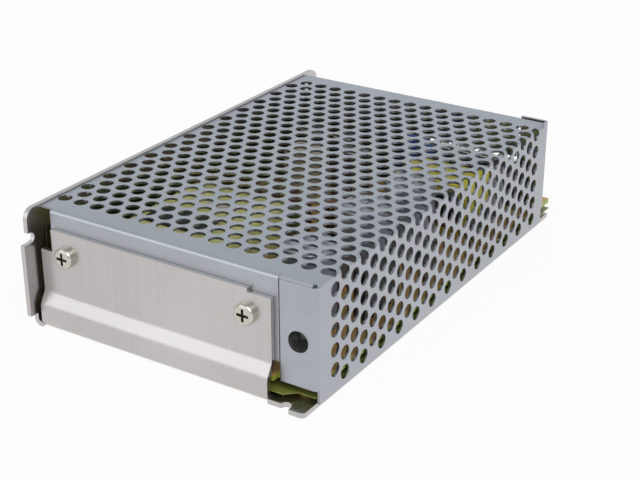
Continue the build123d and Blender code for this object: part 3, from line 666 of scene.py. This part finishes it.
def ring_sizes(core):
    """Centre, inner and outer radius and thickness of a flat ring core."""
    low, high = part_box(core)
    centre = (low + high) / 2
    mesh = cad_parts[core].data
    inner = min(math.hypot(v.co.x - centre.x, v.co.y - centre.y) for v in mesh.vertices)
    return centre, inner, (high.x - low.x) / 2, high.z - low.z


# Start and length of each wound stretch, in degrees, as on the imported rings
WOUND = (
    ("filter_choke", "fine_turns", ((20.0, 140.0), (200.0, 140.0))),
    ("output_choke", "thick_turns", ((30.0, 300.0),)),
)


class SUPPLY_OT_windings(bpy.types.Operator):
    """Lay the copper turns round the ring cores"""

    bl_idname = "supply.windings"
    bl_label = "Windings"

    def execute(self, context):
        look = context.scene.supply_winding
        copper = wire_material("enamelled_copper", look.copper)
        tree = choke_tree("turns_round_ring")
        for label, turns, arcs in WOUND:
            centre, inner, outer, thick = ring_sizes(f"{label}_core")
            for number, (start, arc) in enumerate(arcs, start=1):
                values = {
                    "Turns": getattr(look, turns),
                    "Start": math.radians(start),
                    "Arc": math.radians(arc),
                    "Middle": (inner + outer) / 2,
                    "Wide": outer - inner + look.wire,
                    "High": thick + look.wire,
                    "Wire": look.wire,
                    "Centre": centre,
                    "Material": copper,
                }
                piece = grow(f"{label}_turns_{number}", tree, values)
                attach(piece, CASE_BODY)
                if number == 1:
                    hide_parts(f"{label}_winding")
        return {"FINISHED"}


def rounded_loop(low, high, corner, steps):
    """Points of a rectangle with rounded corners, anticlockwise."""
    centres = (
        (high.x - corner, high.y - corner),
        (low.x + corner, high.y - corner),
        (low.x + corner, low.y + corner),
        (high.x - corner, low.y + corner),
    )
    points = []
    for quarter, (x, y) in enumerate(centres):
        for step in range(steps + 1):
            angle = (quarter + step / steps) * math.pi / 2
            points.append((x + corner * math.cos(angle), y + corner * math.sin(angle)))
    return points


def add_ring(mesh, points, height):
    """Closed ring of vertices at a height, with its edges."""
    ring = [mesh.verts.new((x, y, height)) for x, y in points]
    edges = [mesh.edges.new(pair) for pair in zip(ring, ring[1:] + ring[:1])]
    return ring, edges


def add_wall(mesh, below, above):
    """Faces between two rings of as many vertices."""
    for place, vertex in enumerate(below):
        after = (place + 1) % len(below)
        mesh.faces.new((vertex, below[after], above[after], above[place]))


def piece_from(name, mesh):
    """Object in the scene from a finished bmesh, which is freed."""
    data = bpy.data.meshes.new(name)
    mesh.to_mesh(data)
    mesh.free()
    piece = bpy.data.objects.new(name, data)
    bpy.context.scene.collection.objects.link(piece)
    return piece


def thicken(piece, thick):
    """Gives a sheet its thickness, to the inner side."""
    wall = piece.modifiers.new("wall", "SOLIDIFY")
    wall.thickness = thick
    wall.offset = -1.0


def smooth(piece):
    """Shades a piece smooth all over."""
    piece.data.polygons.foreach_set("use_smooth", [True] * len(piece.data.polygons))


# The wrapping stands clear of the core and runs on past it at the far side
WRAP_CLEAR = Vector((0.6 * MM, 0.5 * MM, 0.35 * MM))
WRAP_FAR = 6.0 * MM
WRAP_LOW = 3.0 * MM
WRAP_CORNER = 2.4 * MM
WRAP_RIM = WRAP_CORNER / 2
# How far the walls swell, in thicknesses of the tape, and where the rim bends, as a share of it
WRAP_SWELL, RIM_BEND = 0.8, 0.3
# The window in its top, from the wrapping's own sides, and the patch from its near left corner
WINDOW_LEFT = 3.0 * MM
WINDOW_RIGHT = 9.0 * MM
WINDOW_NEAR = 2.6 * MM
WINDOW_DEEP = 11.5 * MM
PATCH_SIZE = Vector((11.0 * MM, 5.5 * MM, 0.0))
PATCH_AT = Vector((19.0 * MM, 24.0 * MM, 0.0))
PATCH_CORNER = 0.6875 * MM
PATCH_THICK = 0.1 * MM


def wrapped_block(name, low, high, window, thick):
    """Taped wrapping round a block: swelling walls, a rounded rim and a top with an open window."""
    mesh = bmesh.new()
    levels = (
        (0.0, low.z),
        (-WRAP_SWELL * thick, (low.z + high.z) / 2),
        (0.0, high.z - WRAP_RIM),
        (RIM_BEND * WRAP_RIM, high.z - RIM_BEND * WRAP_RIM),
        (WRAP_RIM, high.z),
    )
    rings = []
    for inset, height in levels:
        step = Vector((inset, inset, 0.0))
        rings.append(add_ring(mesh, rounded_loop(low + step, high - step, WRAP_CORNER, steps=6), height))
    for (below, _), (above, _) in zip(rings, rings[1:]):
        add_wall(mesh, below, above)
    _, hole = add_ring(mesh, rounded_loop(*window, WRAP_RIM, steps=3), high.z)
    bmesh.ops.triangle_fill(mesh, use_beauty=True, use_dissolve=False, edges=rings[-1][1] + hole)
    bmesh.ops.recalc_face_normals(mesh, faces=mesh.faces)
    if max(mesh.faces, key=lambda face: face.calc_center_median().z).normal.z < 0:
        bmesh.ops.reverse_faces(mesh, faces=mesh.faces)
    piece = piece_from(name, mesh)
    thicken(piece, thick)
    return piece


def flat_patch(name, centre):
    """Thin rectangular patch with soft corners, lying flat."""
    mesh = bmesh.new()
    loop = rounded_loop(-PATCH_SIZE / 2, PATCH_SIZE / 2, PATCH_CORNER, steps=3)
    base, _ = add_ring(mesh, loop, 0.0)
    top, _ = add_ring(mesh, loop, PATCH_THICK)
    mesh.faces.new(list(reversed(base)))
    mesh.faces.new(top)
    add_wall(mesh, base, top)
    bmesh.ops.translate(mesh, verts=mesh.verts, vec=centre)
    return piece_from(name, mesh)


class SUPPLY_OT_wrapping(bpy.types.Operator):
    """Wrap the transformer in tape, with its core bare in a window"""

    bl_idname = "supply.wrapping"
    bl_label = "Transformer tape"

    def execute(self, context):
        look = context.scene.supply_winding
        core_low, core_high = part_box("transformer_core")
        bobbin_low, bobbin_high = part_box("transformer_bobbin")
        low = Vector((core_low.x, bobbin_low.y, core_low.z + WRAP_LOW)) - WRAP_CLEAR
        high = Vector((core_high.x, bobbin_high.y + WRAP_FAR, core_high.z)) + WRAP_CLEAR
        window = (
            Vector((low.x + WINDOW_LEFT, low.y + WINDOW_NEAR, 0.0)),
            Vector((high.x - WINDOW_RIGHT, low.y + WINDOW_NEAR + WINDOW_DEEP, 0.0)),
        )
        wrap = wrapped_block("transformer_wrapping", low, high, window, look.tape_thick)
        tape = tape_material("yellow_tape", look.tape, look.tape_width, low.z)
        wrap.data.materials.append(tape)
        smooth(wrap)
        paint(tape, "transformer_winding")
        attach(wrap, CASE_BODY)
        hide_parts("transformer_winding")
        patch = flat_patch("transformer_patch", Vector((low.x, low.y, high.z)) + PATCH_AT)
        patch.data.materials.append(paper_material("pale_paper", (0.75, 0.66, 0.62)))
        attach(patch, CASE_BODY)
        return {"FINISHED"}


# Facets round a disc and across it, how square its rim is, and its leads
DISC_STEPS, DISC_LEVELS = 28, 6
DISC_RIM = 0.3
LEAD = 0.7 * MM
LEAD_SIDES = 10
LEAD_GAP = 5.0 * MM

# Name, middle, diameter and thickness in millimetres, colour and slot
DISCS = (
    ("surge_disc", (8.4, 54.6, 24.6), 13.0, 3.6, (0.030, 0.110, 0.440), "blue_coating"),
    ("inrush_disc", (33.0, 29.6, 17.6), 13.0, 4.4, (0.012, 0.014, 0.013), "dark_coating"),
    ("red_disc", (-30.6, 40.1, 18.6), 4.6, 2.4, (0.550, 0.020, 0.012), "red_moulding"),
)


def dipped_disc(name, centre, across, thick, lead_floor):
    """Dipped disc on edge with two straight leads, as one mesh that stands on the board."""
    mesh = bmesh.new()
    turn = [step / DISC_STEPS * 2 * math.pi for step in range(DISC_STEPS)]
    rings = []
    for level in range(1, DISC_LEVELS):
        angle = level / DISC_LEVELS * math.pi
        radius = across / 2 * math.sin(angle) ** DISC_RIM
        height = -thick / 2 * math.cos(angle)
        rings.append([mesh.verts.new((radius * math.cos(a), height, radius * math.sin(a))) for a in turn])
    for below, above in zip(rings, rings[1:]):
        add_wall(mesh, above, below)
    mesh.faces.new(rings[0])
    mesh.faces.new(list(reversed(rings[-1])))
    drop = centre.z - lead_floor
    for side in (-1.0, 1.0):
        lead = bmesh.ops.create_cone(
            mesh, cap_ends=True, segments=LEAD_SIDES, radius1=LEAD / 2, radius2=LEAD / 2, depth=drop
        )
        bmesh.ops.translate(mesh, verts=lead["verts"], vec=(side * LEAD_GAP / 2, 0.0, -drop / 2))
    bmesh.ops.translate(mesh, verts=mesh.verts, vec=centre)
    bmesh.ops.recalc_face_normals(mesh, faces=mesh.faces)
    piece = piece_from(name, mesh)
    smooth(piece)
    return piece


class SUPPLY_OT_discs(bpy.types.Operator):
    """Stand the dipped discs on the board"""

    bl_idname = "supply.discs"
    bl_label = "Dipped discs"

    def execute(self, context):
        board_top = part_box("circuit_board")[1].z
        for name, middle, across, thick, colour, slot in DISCS:
            piece = dipped_disc(name, Vector(middle) * MM, across * MM, thick * MM, board_top)
            coating = moulding(f"{name}_coating", colour, roughness=0.25, grain=300.0, coat=0.3)
            piece.data.materials.append(coating)
            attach(piece, CASE_BODY)
        return {"FINISHED"}


# The barrier is a near-black sheet of painted shade: it stands behind the terminals and closes the sight line
# over the trimmer
BARRIER_X = (-46.8 * MM, 2.0 * MM)
BARRIER_Y = 63.8 * MM
BARRIER_TOP = 28.0 * MM
BARRIER_CORNER = 3.0 * MM
BARRIER_THICK = 0.8 * MM


class SUPPLY_OT_barrier(bpy.types.Operator):
    """Stand the dark barrier behind the terminals, as painted shade"""

    bl_idname = "supply.barrier"
    bl_label = "Dark barrier"

    def execute(self, context):
        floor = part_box("circuit_board")[1].z
        low = Vector((BARRIER_X[0], floor, 0.0))
        high = Vector((BARRIER_X[1], BARRIER_TOP, 0.0))
        outline = rounded_loop(low, high, BARRIER_CORNER, steps=4)
        mesh = bmesh.new()
        mesh.faces.new([mesh.verts.new((x, BARRIER_Y, z)) for x, z in outline])
        piece = piece_from("insulating_barrier", mesh)
        thicken(piece, BARRIER_THICK)
        # Near-black, standing in for the shade seen past the terminals
        black_sheet = moulding("barrier_fibre", (0.022, 0.022, 0.020), roughness=0.55, grain=1200.0)
        piece.data.materials.append(black_sheet)
        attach(piece, CASE_BODY)
        return {"FINISHED"}


# Camera worked out from the photograph's hole lattice and long edges
CAMERA_AT = Vector((0.223285, -0.343553, 0.201362))
CAMERA_AIM = Vector((-0.48815, 0.76317, -0.42342))
CAMERA_ROLL = math.radians(0.13)
SENSOR_WIDTH = 36.0
CLIP_START, CLIP_END = 0.01, 20.0

# Strength of what reflections see of the sky, tint of the sky, and the floor's tone and white share
REFLECTED_SKY = 0.80
SKY_TINT = (0.93, 0.97, 1.0, 1.0)
FLOOR_TONE = (0.92, 0.92, 0.92, 1.0)
FLOOR_GLOW = 0.92
FLOOR_REACH = 3.0

# Name, place, width and height of each lamp, and the setting with its power
LAMPS = (
    ("key_lamp", (0.52, -0.42, 0.80), (0.7, 0.7), "key"),
    ("near_lamp", (-0.50, -0.90, 0.42), (1.0, 0.7), "fill"),
)
LAMP_AIM = (0.0, 0.0, 0.02)


def lamp(name, place, aim, wide, power):
    """Large soft lamp that looks at a point."""
    light = bpy.data.lights.new(name, "AREA")
    light.shape = "RECTANGLE"
    light.size, light.size_y = wide
    light.energy = power
    holder = bpy.data.objects.new(name, light)
    bpy.context.scene.collection.objects.link(holder)
    holder.location = place
    holder.rotation_mode = "QUATERNION"
    holder.rotation_quaternion = (Vector(aim) - Vector(place)).to_track_quat("-Z", "Y")


def floor_material(name):
    """Pale floor: white where the camera or a reflection looks, but for the soft shadow."""
    graph = Graph(name)
    plain = graph.node("ShaderNodeBsdfDiffuse", None, {"Color": FLOOR_TONE})
    glow = graph.node("ShaderNodeEmission", None, {"Color": WHITE, "Strength": 1.0})
    inputs = {0: graph.background_rays() * FLOOR_GLOW, 1: plain.outputs[0], 2: glow.outputs[0]}
    return graph.finish(graph.node("ShaderNodeMixShader", None, inputs))


def studio_world(name, strength):
    """Soft light all round, paler in reflections and white where the camera looks."""
    graph = Graph(name, world=True)
    around = graph.node("ShaderNodeBackground", None, {"Color": SKY_TINT, "Strength": strength})
    pale = graph.node("ShaderNodeBackground", None, {"Color": SKY_TINT, "Strength": REFLECTED_SKY})
    white = graph.node("ShaderNodeBackground", None, {"Color": WHITE, "Strength": 1.0})
    mirrored = graph.node("ShaderNodeLightPath").outputs["Is Glossy Ray"]
    inputs = {0: mirrored, 1: white.outputs[0], 2: pale.outputs[0]}
    seen = graph.node("ShaderNodeMixShader", None, inputs)
    inputs = {0: graph.background_rays(), 1: around.outputs[0], 2: seen.outputs[0]}
    return graph.finish(graph.node("ShaderNodeMixShader", None, inputs))


def add_floor(scene):
    """Lays the floor as a part of the stage."""
    reach = FLOOR_REACH
    corners = [(-reach, -reach, 0.0), (reach, -reach, 0.0), (reach, reach, 0.0), (-reach, reach, 0.0)]
    mesh = bpy.data.meshes.new("floor")
    mesh.from_pydata(corners, [], [(0, 1, 2, 3)])
    mesh.materials.append(floor_material("pale_floor"))
    floor = bpy.data.objects.new("floor", mesh)
    scene.collection.objects.link(floor)


def add_camera(scene, lens):
    """Puts the camera at the photograph's viewing angle."""
    camera = bpy.data.cameras.new("camera")
    camera.lens = lens
    camera.sensor_width = SENSOR_WIDTH
    camera.clip_start = CLIP_START
    camera.clip_end = CLIP_END
    holder = bpy.data.objects.new("camera", camera)
    scene.collection.objects.link(holder)
    holder.location = CAMERA_AT
    holder.rotation_mode = "QUATERNION"
    roll = Quaternion(CAMERA_AIM.normalized(), CAMERA_ROLL)
    holder.rotation_quaternion = roll @ CAMERA_AIM.to_track_quat("-Z", "Y")
    scene.camera = holder


class SUPPLY_OT_stage(bpy.types.Operator):
    """Set the floor, the lamps, the world and the camera"""

    bl_idname = "supply.stage"
    bl_label = "Stage"

    def execute(self, context):
        scene = context.scene
        look = scene.supply_stage
        scene.view_settings.view_transform = "Standard"
        add_floor(scene)
        scene.world = studio_world("studio", look.sky)
        for name, place, wide, power in LAMPS:
            lamp(name, place, LAMP_AIM, wide, getattr(look, power))
        add_camera(scene, look.lens)
        return {"FINISHED"}


GROUPS = {"supply_case": CaseLook, "supply_winding": WindingLook, "supply_stage": StageLook}
STEPS = (
    SUPPLY_OT_case,
    SUPPLY_OT_board,
    SUPPLY_OT_windings,
    SUPPLY_OT_wrapping,
    SUPPLY_OT_discs,
    SUPPLY_OT_barrier,
    SUPPLY_OT_stage,
)


class SUPPLY_PT_panel(bpy.types.Panel):
    """Lists the settings and the steps in the sidebar"""

    bl_idname = "SUPPLY_PT_panel"
    bl_label = "Supply"
    bl_space_type = "VIEW_3D"
    bl_region_type = "UI"
    bl_category = "Supply"

    def draw(self, context):
        for name in GROUPS:
            look = getattr(context.scene, name)
            box = self.layout.box()
            for key in look.bl_rna.properties.keys():
                if key not in ("name", "rna_type"):
                    box.prop(look, key)
        for step in STEPS:
            self.layout.operator(step.bl_idname)


def register():
    for name, group in GROUPS.items():
        bpy.utils.register_class(group)
        setattr(bpy.types.Scene, name, PointerProperty(type=group))
    for step in (*STEPS, SUPPLY_PT_panel):
        bpy.utils.register_class(step)


def unregister():
    for step in (SUPPLY_PT_panel, *reversed(STEPS)):
        bpy.utils.unregister_class(step)
    for name, group in GROUPS.items():
        delattr(bpy.types.Scene, name)
        bpy.utils.unregister_class(group)


def main():
    register()
    bpy.ops.supply.case()
    bpy.ops.supply.board()
    bpy.ops.supply.windings()
    bpy.ops.supply.wrapping()
    bpy.ops.supply.discs()
    bpy.ops.supply.barrier()
    bpy.ops.supply.stage()


if __name__ == "__main__":
    main()
